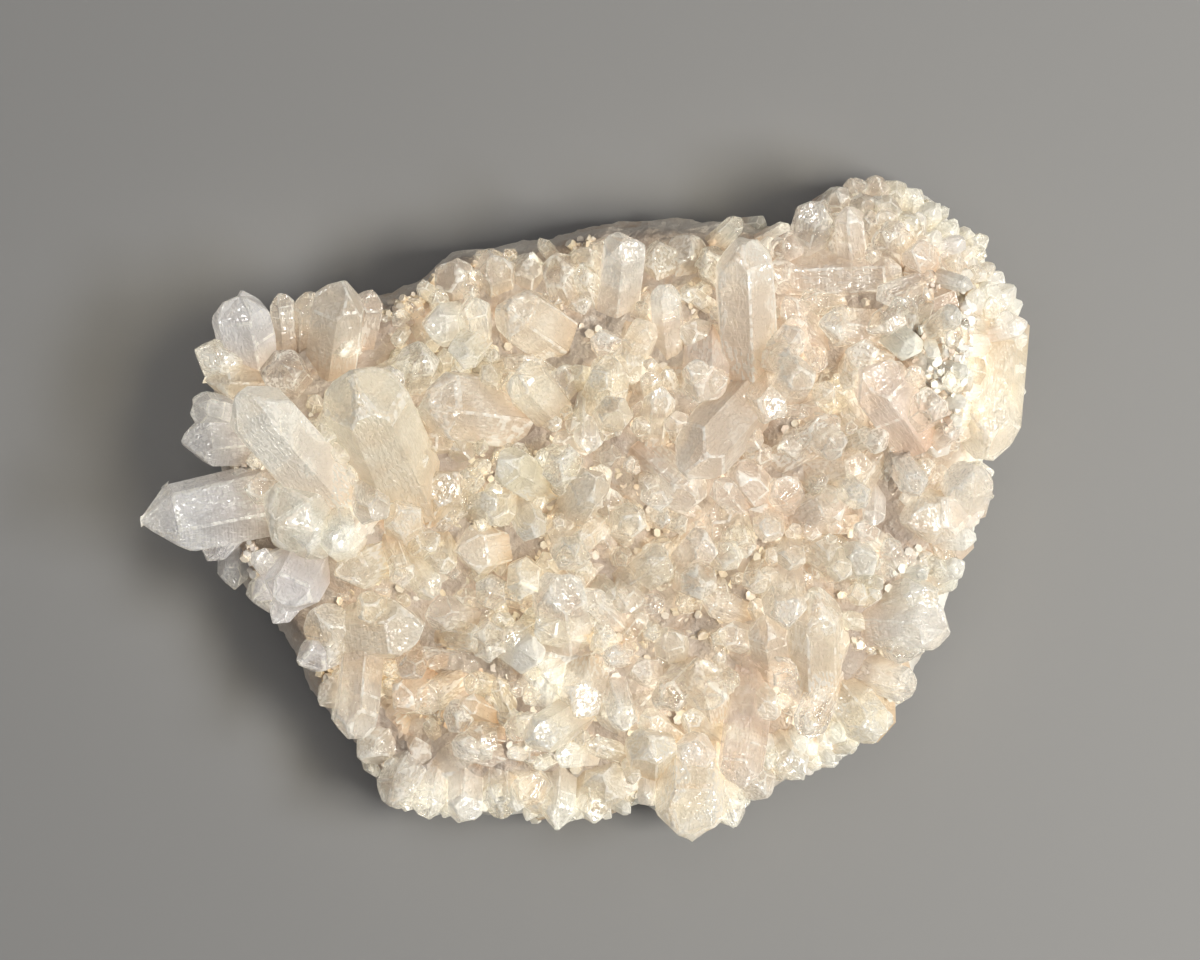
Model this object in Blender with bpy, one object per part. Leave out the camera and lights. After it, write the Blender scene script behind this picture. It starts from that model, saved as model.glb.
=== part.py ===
"""A clear quartz cluster: one natural plate of quartz, crowded with six-sided crystals.

The plate and every crystal on it grew as a single piece, so the model is one solid.
Its frame has +X to the cluster's right, +Y away from whoever looks at it and +Z up.
The origin is on the resting face, under the middle of the cluster.
Lengths in the tables are millimetres and angles are degrees.
"""

import math
import random
from typing import NamedTuple

import bmesh
import bpy
from mathutils import Matrix, Vector, noise

MM = 0.001

# The plate that the crystals grow from.
PLATE_HEIGHT = 21.0
BELLY_SHARE = 0.42  # where its broken side bulges most, as a share of the plate's height there
SHOULDER_SHARE = 0.86  # and where the side meets the top
BELLY_WANDER = 0.16
FOOT_SCALE = 0.90  # the resting face, as a share of the widest outline
FOOT_WANDER = 0.05
SHOULDER_INSET = 0.05
RIGHT_SLOPE_INSET = 0.10  # the right side leans in further than the others
FOOT_LEVEL = 0.0
PATCH_SIZE = 13.0
PATCH_CUTS = 8
PATCH_DIRECTIONS = ((1, 0.3, 0), (-0.4, 1, 0))
LEVEL_TOP = 0.99
ROUGHNESS = 1.8
ROUGH_GRAIN = 9.0

# Quartz: a six-sided prism whose tip faces slope 51.8 degrees from square to its axis.
PRISM_SIDES = 6
TIP_SLOPE = math.radians(51.8)
TAPER = 0.93
ROOT_DEPTH = 1.5  # how deep the middle of a crystal's foot is sunk in the plate
ROOT_SHARE = 0.25  # and how much deeper, as a share of its width
LOWEST_FOOT = 1.5  # how far above the resting face every foot stays
SIMPLE_TIP_WIDTH = 6.4  # narrower crystals have only the three larger faces at the tip
WELD = 0.00001

# Crystals between the large ones.
FILL_SEED = 11
FILL_TRIES = 4000
FILL_COUNT = 41
FILL_WIDTHS = (5.4, 8.4)
FILL_SLENDERNESS = (1.7, 2.7)
FILL_REACH = 0.97
FILL_LEAN_AT_RIM = 64.0
FILL_LEAN_SPREAD = 34.0
FILL_HEADING_SPREAD = 70.0

# The widest outline of the plate, counter-clockwise as seen from above, from the right.
OUTLINE = (
    (81, 3), (80, 9), (85, 16), (88, 29), (87, 39), (83, 45), (80, 53), (75, 57),
    (70, 62), (62, 65), (53, 65), (47, 60), (42, 57), (33, 56.5), (28, 57.5),
    (15, 58), (4, 57), (-7, 54), (-15, 52.5), (-27, 51), (-33, 46), (-40, 42),
    (-51, 41), (-62, 39), (-69, 34), (-74.5, 26.5), (-76, 17), (-74, 7),
    (-72.5, -7), (-69, -16), (-64, -21), (-59, -29), (-56.5, -36), (-51, -43),
    (-44.5, -51.5), (-39.5, -60), (-32, -63), (-23, -62.5), (-13, -63),
    (-6, -64.5), (3, -63.5), (11, -61), (17, -63.5), (21, -65), (28.5, -64.5),
    (33.5, -59), (43, -54.5), (53, -51), (59, -45), (64.5, -39.5), (67, -33),
    (71, -26), (72.5, -19), (75.5, -11), (79, -4),
)


class Mound(NamedTuple):
    """A rise, or a hollow where height is below zero, in the top of the plate."""

    x: float
    y: float
    reach: float
    height: float


MOUNDS = (
    Mound(-52, 8, 26, 8),
    Mound(5, 14, 30, 4),
    Mound(30, 34, 20, 4),
    Mound(72, 42, 15, 10),
    Mound(77, 22, 14, 11),
    Mound(70, -10, 16, 4),
    Mound(-3, -38, 14, 5),
    Mound(40, -30, 20, 4),
    Mound(22, -55, 14, 3),
    Mound(-35, -39, 12, -5),
    Mound(-36, 28, 9, -5),
    Mound(33, 12, 6, -4),
    Mound(8, 57, 22, -3),
)


class Crystal(NamedTuple):
    """One crystal: its tip, the way it points seen from above, its lean from upright and its size."""

    x: float
    y: float
    heading: float
    lean: float
    width: float
    length: float


LEFT_EDGE = (
    Crystal(-88.6, -4.2, 192, 78, 13.5, 30),
    Crystal(-76, -10.5, 225, 70, 6, 12),
    Crystal(-71, -16.8, 268, 62, 5.8, 13),
    Crystal(-80.4, 12.2, 182, 68, 9, 15),
    Crystal(-78.4, 19.6, 165, 62, 6.5, 13),
    Crystal(-77.8, 30.2, 160, 50, 7.5, 13),
    Crystal(-76.5, 24.5, 180, 70, 8, 13),
    Crystal(-69.8, 41.4, 102, 58, 11, 17),
    Crystal(-60.8, 42.2, 94, 68, 5, 13),
    Crystal(-55.2, 42.2, 88, 66, 6, 13),
    Crystal(-48.6, 44.2, 82, 62, 10.5, 20),
    Crystal(-43, 43, 75, 65, 7, 14),
)

LEFT_MOUND = (
    Crystal(-49, 29.6, 265, 28, 8.5, 13),
    Crystal(-61, 28, 120, 22, 9, 13),
    Crystal(-68, 22.6, 130, 58, 13, 36),
    Crystal(-46.5, 26, 113, 54, 16, 36),
    Crystal(-32.6, 18.6, 12, 55, 8, 13),
    Crystal(-62.5, -4, 205, 35, 14, 17),
    Crystal(-56, -8, 250, 20, 11.5, 15),
    Crystal(-67.5, 3.4, 175, 50, 6.5, 12),
    Crystal(-60, -20.5, 245, 48, 11, 15),
    Crystal(-66.5, -19.5, 225, 65, 6, 11),
    Crystal(-62.6, -23.5, 230, 60, 5, 12),
    Crystal(-54, -20.8, 125, 48, 9, 15),
    Crystal(-50, -14.5, 205, 50, 9, 14),
    Crystal(-32.4, -24.6, 3, 70, 11.2, 24),
    Crystal(-57.5, -31.5, 205, 60, 7.5, 12),
    Crystal(-53, -40, 215, 60, 7, 12),
    Crystal(-46, -46.5, 266, 68, 8.5, 24),
    Crystal(-45, -51.5, 222, 60, 8, 13),
    Crystal(-48, -41.5, 270, 30, 4.5, 8),
    Crystal(-36.5, -1.5, 100, 18, 8, 12),
)

LOWER_LEFT = (
    Crystal(-32, -22, 178, 58, 7, 12),
    Crystal(-21.5, -32, 352, 78, 4.2, 20),
    Crystal(-17.6, -46.2, 30, 66, 6, 16),
    Crystal(-15.8, -45, 185, 55, 5, 9),
    Crystal(-5.6, -14.6, 97, 50, 11, 18),
    Crystal(-2, -42, 255, 42, 9, 14),
    Crystal(-13, -55, 140, 40, 8, 12),
    Crystal(-22, -56, 60, 35, 7, 10),
    Crystal(4, -54, 95, 22, 9, 9),
)

LOWER_RIM = (
    Crystal(-39.5, -60.5, 240, 62, 9, 15),
    Crystal(-32, -63, 262, 60, 7, 12),
    Crystal(-24.5, -63.3, 268, 58, 7.5, 12),
    Crystal(-17, -63, 272, 60, 6.5, 12),
    Crystal(-6, -65, 265, 64, 7, 13),
    Crystal(2, -63.5, 280, 60, 6, 11),
    Crystal(22, -66, 270, 58, 14, 20),
    Crystal(30, -64.5, 292, 58, 8, 14),
    Crystal(36, -59, 300, 60, 7, 12),
    Crystal(43, -55, 300, 60, 7, 12),
)

CENTRE = (
    Crystal(13.5, -46, 85, 28, 10, 14),
    Crystal(22.5, -47, 80, 30, 8, 12),
    Crystal(30.4, -56.5, 262, 72, 8.5, 27),
    Crystal(23, -30.8, 97, 55, 9.2, 16),
    Crystal(16.6, -25.2, 100, 42, 6.6, 11),
    Crystal(9, -33.5, 175, 50, 6, 10),
    Crystal(22.8, -18.2, 158, 62, 6, 13),
    Crystal(26.5, -25.5, 165, 60, 5.5, 12),
    Crystal(20.6, -8.2, 95, 52, 5, 10),
    Crystal(5, 3.2, 90, 62, 6, 14),
    Crystal(27, 1, 93, 60, 6.6, 14),
    Crystal(22.6, 0.5, 318, 66, 9.5, 18),
    Crystal(20, 6.4, 229, 60, 12.4, 26),
    Crystal(36, 17.2, 268, 48, 8.8, 13),
    Crystal(31.2, 52.4, 94, 66, 11.4, 32),
    Crystal(30, 7.5, 130, 55, 7.5, 13),
    Crystal(38.5, 5, 120, 50, 7, 11),
)

RIGHT = (
    Crystal(63.4, 46.4, 2, 78, 9.6, 30),
    Crystal(36.6, 47, 150, 35, 7, 10),
    Crystal(39.5, 53.5, 110, 35, 6.5, 9),
    Crystal(43, 40.4, 185, 60, 5.5, 11),
    Crystal(46.5, 36, 175, 68, 8, 16),
    Crystal(56, 34.4, 203, 68, 7, 20),
    Crystal(56.2, 27.6, 127, 62, 11.5, 22),
    Crystal(52, 30.5, 160, 55, 8, 12),
    Crystal(50.4, 17, 36, 58, 7.6, 17),
    Crystal(38, 11, 190, 50, 7.5, 11),
    Crystal(57.4, 8, 5, 68, 7.4, 15),
    Crystal(57.6, -4.4, 268, 50, 4.8, 11),
    Crystal(64, -4, 200, 40, 10, 12),
    Crystal(71.5, 1, 97, 42, 9.5, 15),
    Crystal(77.5, 8, 75, 45, 9.5, 13),
    Crystal(82, 6, 10, 60, 6, 11),
    Crystal(82, 1.8, 355, 62, 6, 11),
    Crystal(80, 9.4, 264.5, 72, 12.5, 30),
    Crystal(72.2, -24, 0, 60, 10, 18),
    Crystal(70, -17.5, 20, 50, 9, 13),
    Crystal(66.5, -29.5, 330, 50, 8, 12),
    Crystal(53.6, -33, 172, 55, 9, 12),
    Crystal(46, -17, 92, 62, 11, 24),
    Crystal(50.6, -40, 165, 40, 11, 10),
    Crystal(58.5, -46.5, 310, 58, 9, 14),
    Crystal(36, -22, 100, 50, 8, 14),
    Crystal(66, -37, 340, 58, 7, 13),
)

BACK = (
    Crystal(-27, 48.5, 100, 48, 8, 9),
    Crystal(-18.5, 50, 95, 44, 8.5, 9),
    Crystal(-11, 50.5, 80, 46, 8, 9),
    Crystal(15, 52.5, 100, 42, 9, 9),
    Crystal(21.5, 53.5, 70, 48, 8, 9),
    Crystal(8, 53, 82, 40, 9, 22),
    Crystal(-0.5, 48, 110, 45, 5.5, 12),
    Crystal(-32.4, 35.2, 188, 55, 8.6, 13),
    Crystal(-22.6, 40.8, 97, 50, 6, 13),
    Crystal(-16, 40, 145, 50, 11, 17),
    Crystal(-6, 49.5, 110, 45, 8, 12),
    Crystal(9.4, 24.2, 270, 58, 6.2, 14),
    Crystal(15.8, 43.8, 95, 62, 5.6, 16),
    Crystal(-4.5, 27.2, 100, 35, 5.5, 9),
    Crystal(0.6, 10.4, 269, 68, 5.6, 19),
    Crystal(-0.5, 27.6, 85, 30, 5.5, 9),
    Crystal(-32, 20.6, 172, 55, 13.5, 24),
    Crystal(-34.8, 13.6, 185, 52, 9, 14),
    Crystal(-13, 23, 120, 25, 8, 10),
    Crystal(-26, 6, 60, 45, 9, 12),
    Crystal(-25.5, -10, 190, 45, 9.5, 12),
    Crystal(24.5, 50.5, 120, 30, 6.5, 9),
    Crystal(24, 46, 200, 30, 7, 9),
    Crystal(24, 20.6, 270, 60, 9, 16),
    Crystal(24.4, 20.8, 0, 68, 5.4, 12),
    Crystal(46.6, 60.4, 75, 52, 7.5, 15),
    Crystal(56, 65.4, 98, 50, 10, 17),
    Crystal(62, 64.5, 85, 50, 8, 14),
    Crystal(50, 54.5, 110, 40, 5.5, 9),
    Crystal(64.5, 50.5, 150, 30, 6.5, 9),
    Crystal(70.5, 49, 130, 30, 7.5, 10),
    Crystal(59, 55, 130, 40, 7, 11),
)

MAIN_CRYSTALS = LEFT_EDGE + LEFT_MOUND + LOWER_LEFT + LOWER_RIM + CENTRE + RIGHT + BACK


def clear_scene():
    for obj in list(bpy.data.objects):
        bpy.data.objects.remove(obj, do_unlink=True)


def quartz_material():
    material = bpy.data.materials.new("clear_quartz")
    material.use_nodes = True
    shader = material.node_tree.nodes["Principled BSDF"]
    shader.inputs["Base Color"].default_value = (0.82, 0.75, 0.66, 1.0)
    shader.inputs["Roughness"].default_value = 0.12
    shader.inputs["Metallic"].default_value = 0.0
    return material


def outline_radius(x, y):
    """How far out a plan point lies: 0 at the middle of the plate and 1 on its outline."""
    here = math.atan2(y, x)
    for start, end in zip(OUTLINE, OUTLINE[1:] + OUTLINE[:1]):
        first = math.atan2(start[1], start[0])
        turn = (math.atan2(end[1], end[0]) - first) % math.tau
        if (here - first) % math.tau <= turn:
            edge = Vector(end) - Vector(start)
            ray = Vector((math.cos(here), math.sin(here)))
            reach = edge.cross(Vector(start)) / edge.cross(ray)
            return math.hypot(x, y) / reach
    return 0.0


def top_height(x, y):
    """The height of the plate's top, before its edge falls away."""
    height = PLATE_HEIGHT
    for mound in MOUNDS:
        away = math.hypot(x - mound.x, y - mound.y) / mound.reach
        height += mound.height * math.exp(-away * away)
    return height


def shoulder_scale(x, y):
    """Where the top turns down into the side wall, as a share of the way out."""
    to_the_right = max(0.0, x / math.hypot(x, y)) ** 2
    upper_right = to_the_right if y > 0 else 0.0
    return 1.0 - SHOULDER_INSET - RIGHT_SLOPE_INSET * upper_right


def surface_height(x, y):
    """The height of the plate's surface, on its top or on the way down its edge."""
    out = outline_radius(x, y)
    shoulder = shoulder_scale(x, y)
    if out <= shoulder:
        return top_height(x, y)
    fall = min(1.0, (out - shoulder) / (1.0 - shoulder))
    return top_height(x, y) * (SHOULDER_SHARE + (BELLY_SHARE - SHOULDER_SHARE) * fall)


def roughened(point):
    """The point moved by a smooth noise, as broken quartz is uneven."""
    return point + noise.noise_vector(point / ROUGH_GRAIN) * ROUGHNESS


def plate_ring(mesh, scale_of, height_of):
    ring = []
    for x, y in OUTLINE:
        scale = scale_of(x, y)
        ring.append(mesh.verts.new((x * scale, y * scale, height_of(x, y))))
    return ring


def foot_scale(x, y):
    """The resting face's edge, which wanders in and out as a broken edge does."""
    return FOOT_SCALE + FOOT_WANDER * noise.noise((x / ROUGH_GRAIN, y / ROUGH_GRAIN, 0))


def belly_height(x, y):
    uneven = noise.noise((x / ROUGH_GRAIN, y / ROUGH_GRAIN, 5))
    return (BELLY_SHARE + BELLY_WANDER * uneven) * top_height(x, y)


def bridge(mesh, lower, upper):
    count = len(lower)
    for i in range(count):
        j = (i + 1) % count
        mesh.faces.new((lower[i], lower[j], upper[j], upper[i]))


def top_faces(mesh):
    return [face for face in mesh.faces if face.normal.z > LEVEL_TOP]


def cut_into_patches(mesh):
    """Cuts the level top both ways into patches."""
    for across in PATCH_DIRECTIONS:
        for step in range(-PATCH_CUTS, PATCH_CUTS + 1):
            faces = top_faces(mesh)
            edges = {edge for face in faces for edge in face.edges}
            verts = {vert for face in faces for vert in face.verts}
            middle = Vector(across).normalized() * step * PATCH_SIZE
            bmesh.ops.bisect_plane(
                mesh, geom=faces + list(edges) + list(verts), plane_co=middle, plane_no=across,
            )


def raise_top(mesh):
    """Lifts the level top to its uneven height, lower where it meets the side."""
    top = set(top_faces(mesh))
    for vert in {vert for face in top for vert in face.verts}:
        x, y = vert.co.x, vert.co.y
        share = 1.0 if top.issuperset(vert.link_faces) else SHOULDER_SHARE
        vert.co.z = top_height(x, y) * share
        vert.co = roughened(vert.co)


def plate():
    """The plate: a loft up its bulging side to a top that is cut into uneven patches."""
    mesh = bmesh.new()
    foot = plate_ring(mesh, foot_scale, lambda x, y: FOOT_LEVEL)
    belly = plate_ring(mesh, lambda x, y: 1.0, belly_height)
    shoulder = plate_ring(mesh, shoulder_scale, lambda x, y: PLATE_HEIGHT)
    bridge(mesh, foot, belly)
    bridge(mesh, belly, shoulder)
    underside = mesh.faces.new(list(reversed(foot)))
    mesh.faces.new(shoulder)
    mesh.normal_update()
    cut_into_patches(mesh)
    raise_top(mesh)
    uneven = [face for face in mesh.faces if face != underside]
    bmesh.ops.triangulate(mesh, faces=uneven)
    bmesh.ops.recalc_face_normals(mesh, faces=mesh.faces)
    mesh.transform(Matrix.Scale(MM, 4))
    return mesh


def axis_of(crystal):
    heading = math.radians(crystal.heading)
    lean = math.radians(crystal.lean)
    level = math.sin(lean)
    return Vector((level * math.cos(heading), level * math.sin(heading), math.cos(lean)))


def tip_of(crystal):
    """The crystal's tip: its length above a foot that is sunk in the plate."""
    axis = axis_of(crystal)
    foot_x = crystal.x - axis.x * crystal.length
    foot_y = crystal.y - axis.y * crystal.length
    foot = surface_height(foot_x, foot_y) - ROOT_DEPTH - ROOT_SHARE * crystal.width
    foot = max(foot, LOWEST_FOOT + 0.5 * crystal.width)
    return Vector((crystal.x, crystal.y, foot + axis.z * crystal.length))


def cut_tip_face(mesh, around, drop):
    """One sloping face of the crystal's tip, cut and closed."""
    normal = Vector((
        math.sin(TIP_SLOPE) * math.cos(around),
        math.sin(TIP_SLOPE) * math.sin(around),
        math.cos(TIP_SLOPE),
    ))
    geometry = mesh.verts[:] + mesh.edges[:] + mesh.faces[:]
    cut = bmesh.ops.bisect_plane(
        mesh, geom=geometry, plane_co=(0, 0, drop), plane_no=normal, clear_outer=True, dist=1e-5,
    )
    rim = [e for e in cut["geom_cut"] if isinstance(e, bmesh.types.BMEdge)]
    if rim:
        bmesh.ops.contextual_create(mesh, geom=rim)


def crystal_mesh(crystal, shape):
    """A six-sided prism with a tip of six faces, three of them larger, put in its place."""
    length = crystal.length
    radius = crystal.width / (2 * math.cos(math.pi / PRISM_SIDES))
    mesh = bmesh.new()
    bmesh.ops.create_cone(
        mesh, cap_ends=True, segments=PRISM_SIDES, radius1=radius, radius2=radius * TAPER, depth=length,
    )
    bmesh.ops.translate(mesh, verts=mesh.verts, vec=(0, 0, -length / 2))
    for side in range(PRISM_SIDES):
        around = math.tau * (side + 0.5) / PRISM_SIDES
        large = side % 2 == 1
        drop = crystal.width * (shape.uniform(0.0, 0.05) if large else shape.uniform(0.06, 0.26))
        if large or crystal.width > SIMPLE_TIP_WIDTH:
            cut_tip_face(mesh, around, drop)
    highest = max(v.co.z for v in mesh.verts)
    flatness = shape.uniform(0.78, 1.0)
    roll = shape.uniform(0.0, 360.0)
    placed = (
        Matrix.Translation(tip_of(crystal))
        @ axis_of(crystal).to_track_quat("Z", "Y").to_matrix().to_4x4()
        @ Matrix.Diagonal((1.0, flatness, 1.0, 1.0))
        @ Matrix.Rotation(math.radians(roll), 4, "Z")
        @ Matrix.Translation((0, 0, -highest))
    )
    mesh.transform(Matrix.Scale(MM, 4) @ placed)
    bmesh.ops.recalc_face_normals(mesh, faces=mesh.faces)
    return mesh


def covered(x, y):
    """True where a large crystal already hides the plate from above."""
    here = Vector((x, y))
    for crystal in MAIN_CRYSTALS:
        tip = Vector((crystal.x, crystal.y))
        axis = axis_of(crystal)
        back = Vector((axis.x, axis.y)) * -crystal.length
        along = 0.0
        if back.length > 0:
            along = min(1.0, max(0.0, (here - tip).dot(back) / back.length_squared))
        if (tip + back * along - here).length < 0.42 * crystal.width:
            return True
    return False


def fill_crystals():
    """The many middling crystals, which lean outwards more the nearer they are to the edge."""
    pick = random.Random(FILL_SEED)
    grown = []
    for _ in range(FILL_TRIES):
        x = pick.uniform(-80, 86)
        y = pick.uniform(-66, 66)
        width = pick.uniform(*FILL_WIDTHS)
        slenderness = pick.uniform(*FILL_SLENDERNESS)
        lean_spread = pick.uniform(-1, 1) * FILL_LEAN_SPREAD
        heading_spread = pick.uniform(-1, 1) * FILL_HEADING_SPREAD
        out = outline_radius(x, y)
        if out > FILL_REACH * shoulder_scale(x, y) or covered(x, y):
            continue
        if any(math.hypot(x - c.x, y - c.y) < 0.46 * (width + c.width) for c in grown):
            continue
        lean = min(80.0, abs(FILL_LEAN_AT_RIM * out**1.5 + lean_spread))
        heading = math.degrees(math.atan2(y, x)) + heading_spread
        grown.append(Crystal(x, y, heading, lean, width, width * slenderness))
        if len(grown) == FILL_COUNT:
            break
    return grown


def object_from(mesh, name, collection):
    data = bpy.data.meshes.new(name)
    mesh.to_mesh(data)
    mesh.free()
    obj = bpy.data.objects.new(name, data)
    collection.objects.link(obj)
    return obj


def keep_outer_skin(mesh):
    """Removes sealed pockets, which the joined crystals can close off between them."""
    mesh.faces.ensure_lookup_table()
    unseen = set(mesh.faces)
    islands = []
    while unseen:
        island = set()
        reached = [unseen.pop()]
        while reached:
            face = reached.pop()
            island.add(face)
            for edge in face.edges:
                for other in edge.link_faces:
                    if other in unseen:
                        unseen.remove(other)
                        reached.append(other)
        islands.append(island)
    largest = max(islands, key=lambda island: sum(face.calc_area() for face in island))
    spare = [face for face in mesh.faces if face not in largest]
    bmesh.ops.delete(mesh, geom=spare, context="FACES")


def grow_together(base, cutters):
    """Joins the plate and every crystal into one solid."""
    join = base.modifiers.new("grown_together", "BOOLEAN")
    join.operation = "UNION"
    join.operand_type = "COLLECTION"
    join.collection = cutters
    join.solver = "EXACT"
    bpy.context.view_layer.update()
    graph = bpy.context.evaluated_depsgraph_get()
    joined = bpy.data.meshes.new_from_object(base.evaluated_get(graph))
    skin = bmesh.new()
    skin.from_mesh(joined)
    keep_outer_skin(skin)
    bmesh.ops.remove_doubles(skin, verts=skin.verts, dist=WELD)
    skin.to_mesh(joined)
    skin.free()
    base.modifiers.remove(join)
    base.data = joined


def stand_at_origin(base):
    """Moves the cluster so that the middle of its box stands over the origin."""
    xs = [vert.co.x for vert in base.data.vertices]
    ys = [vert.co.y for vert in base.data.vertices]
    middle = Vector((min(xs) + max(xs), min(ys) + max(ys), 0.0)) / 2
    base.data.transform(Matrix.Translation(-middle))


def main():
    clear_scene()
    cluster_parts = bpy.data.collections.new("quartz_cluster")
    growths = bpy.data.collections.new("growths")
    for collection in (cluster_parts, growths):
        bpy.context.scene.collection.children.link(collection)
    cluster = object_from(plate(), "quartz_cluster", cluster_parts)
    shape = random.Random(FILL_SEED)
    for number, crystal in enumerate(list(MAIN_CRYSTALS) + fill_crystals()):
        growth = object_from(crystal_mesh(crystal, shape), f"growth_{number:03d}", growths)
        growth.hide_render = True
        growth.display_type = "WIRE"
    grow_together(cluster, growths)
    stand_at_origin(cluster)
    for growth in list(growths.objects):
        bpy.data.objects.remove(growth, do_unlink=True)
    cluster.data.materials.clear()
    cluster.data.materials.append(quartz_material())


main()
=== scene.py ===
import math
import random

import bpy
import numpy as np
from mathutils import Matrix, Vector, noise


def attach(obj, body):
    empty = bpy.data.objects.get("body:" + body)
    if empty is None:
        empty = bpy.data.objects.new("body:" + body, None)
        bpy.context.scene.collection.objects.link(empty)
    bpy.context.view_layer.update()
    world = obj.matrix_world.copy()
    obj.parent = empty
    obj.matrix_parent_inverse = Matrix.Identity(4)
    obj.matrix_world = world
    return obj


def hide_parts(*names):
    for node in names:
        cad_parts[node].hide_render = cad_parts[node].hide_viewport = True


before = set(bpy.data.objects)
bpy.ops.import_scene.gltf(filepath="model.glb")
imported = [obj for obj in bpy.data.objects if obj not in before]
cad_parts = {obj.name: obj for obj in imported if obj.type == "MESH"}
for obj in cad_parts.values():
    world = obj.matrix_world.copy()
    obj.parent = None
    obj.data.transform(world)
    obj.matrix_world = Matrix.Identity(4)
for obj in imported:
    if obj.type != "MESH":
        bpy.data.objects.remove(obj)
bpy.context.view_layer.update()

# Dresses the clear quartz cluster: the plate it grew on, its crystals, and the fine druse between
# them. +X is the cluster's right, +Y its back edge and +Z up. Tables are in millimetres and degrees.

MM = 0.001
NODE = "quartz_cluster"
CENTRING = Vector((-0.5, 0.3, 0.0))  # from the tables' origin to the middle of the cluster's box

# ---------------------------------------------------------------- the plate's form

PLATE_HEIGHT = 21.0
BELLY_SHARE = 0.42
BELLY_WANDER = 0.16
FOOT_SCALE = 0.90
FOOT_WANDER = 0.05
SHOULDER_SHARE = 0.86
SHOULDER_INSET = 0.05
RIGHT_SLOPE_INSET = 0.10
ROUGH_GRAIN = 9.0
TOP_RING = 0.9  # the innermost ring of its cage, as a share of the shoulder
CAGE_RADIUS = 0.08
PLATE_VOXEL = 1.2
UNDERSIDE = 0.6  # below this level, what faces down belongs to the resting face

# The widest outline of the plate, counter-clockwise as seen from above, from the right.
OUTLINE = (
    (81, 3), (80, 9), (85, 16), (88, 29), (87, 39), (83, 45), (80, 53), (75, 57),
    (70, 62), (62, 65), (53, 65), (47, 60), (42, 57), (33, 56.5), (28, 57.5),
    (15, 58), (4, 57), (-7, 54), (-15, 52.5), (-27, 51), (-33, 46), (-40, 42),
    (-51, 41), (-62, 39), (-69, 34), (-74.5, 26.5), (-76, 17), (-74, 7),
    (-72.5, -7), (-69, -16), (-64, -21), (-59, -29), (-56.5, -36), (-51, -43),
    (-44.5, -51.5), (-39.5, -60), (-32, -63), (-23, -62.5), (-13, -63),
    (-6, -64.5), (3, -63.5), (11, -61), (17, -63.5), (21, -65), (28.5, -64.5),
    (33.5, -59), (43, -54.5), (53, -51), (59, -45), (64.5, -39.5), (67, -33),
    (71, -26), (72.5, -19), (75.5, -11), (79, -4),
)

# Rises and hollows in the plate's top: x, y, reach, height.
MOUNDS = (
    (-52, 8, 26, 8), (5, 14, 30, 4), (30, 34, 20, 4), (72, 42, 15, 10), (77, 22, 14, 11),
    (70, -10, 16, 4), (-3, -38, 14, 5), (40, -30, 20, 4), (22, -55, 14, 3),
    (-35, -39, 12, -5), (-36, 28, 9, -5), (33, 12, 6, -4), (8, 57, 22, -3),
)

# ---------------------------------------------------------------- the crystals

TIP_SLOPE = math.radians(51.8)
ROOT_DEPTH = 1.5
ROOT_SHARE = 0.25
LOWEST_FOOT = 1.5

# The pattern crystals, one unit wide: a long prism with its tip at the top.
PRISM_SIDES = 6
PRISM_RADIUS = 0.5774
PRISM_LENGTH = 3.0
PRISM_MIDDLE = -1.0
GROWTH_ABOVE = -1.5  # growth plates lie on faces above this level, and the bevels end at the next one
BEVELS_ABOVE = -2.4
TAPERS = (0.02, 0.07)
SIDE_REACHES = (0.80, 1.0)
LARGE_FACE_DROPS = (0.0, 0.05)
SMALL_FACE_DROPS = (0.05, 0.26)
STEPPED_SHARE = 0.7  # how many of a stepped crystal's tip faces carry a growth plate
STEP_INSET = 0.05
STEP_RISE = 0.012
PATTERN_FOOT = -1.2  # what lies lower belongs to the foot, which is set to each crystal's length
SHORTEST = 1.3
LARGE_BEVEL = 0.032
SMALL_BEVEL = 0.05

# How one crystal differs from the next.
SHADES = (0.85, 1.04)
TINT_SHIFTS = (0.985, 1.015)
MILK_SHIFTS = (-0.18, 0.14)
GLITTERS = (0.2, 1.3)
LARGE_FLATTEST = 0.80  # how flat a crystal may be across, as a share of its width
SMALL_FLATTEST = 0.62
GRAIN_FLATTEST = 0.70

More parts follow.
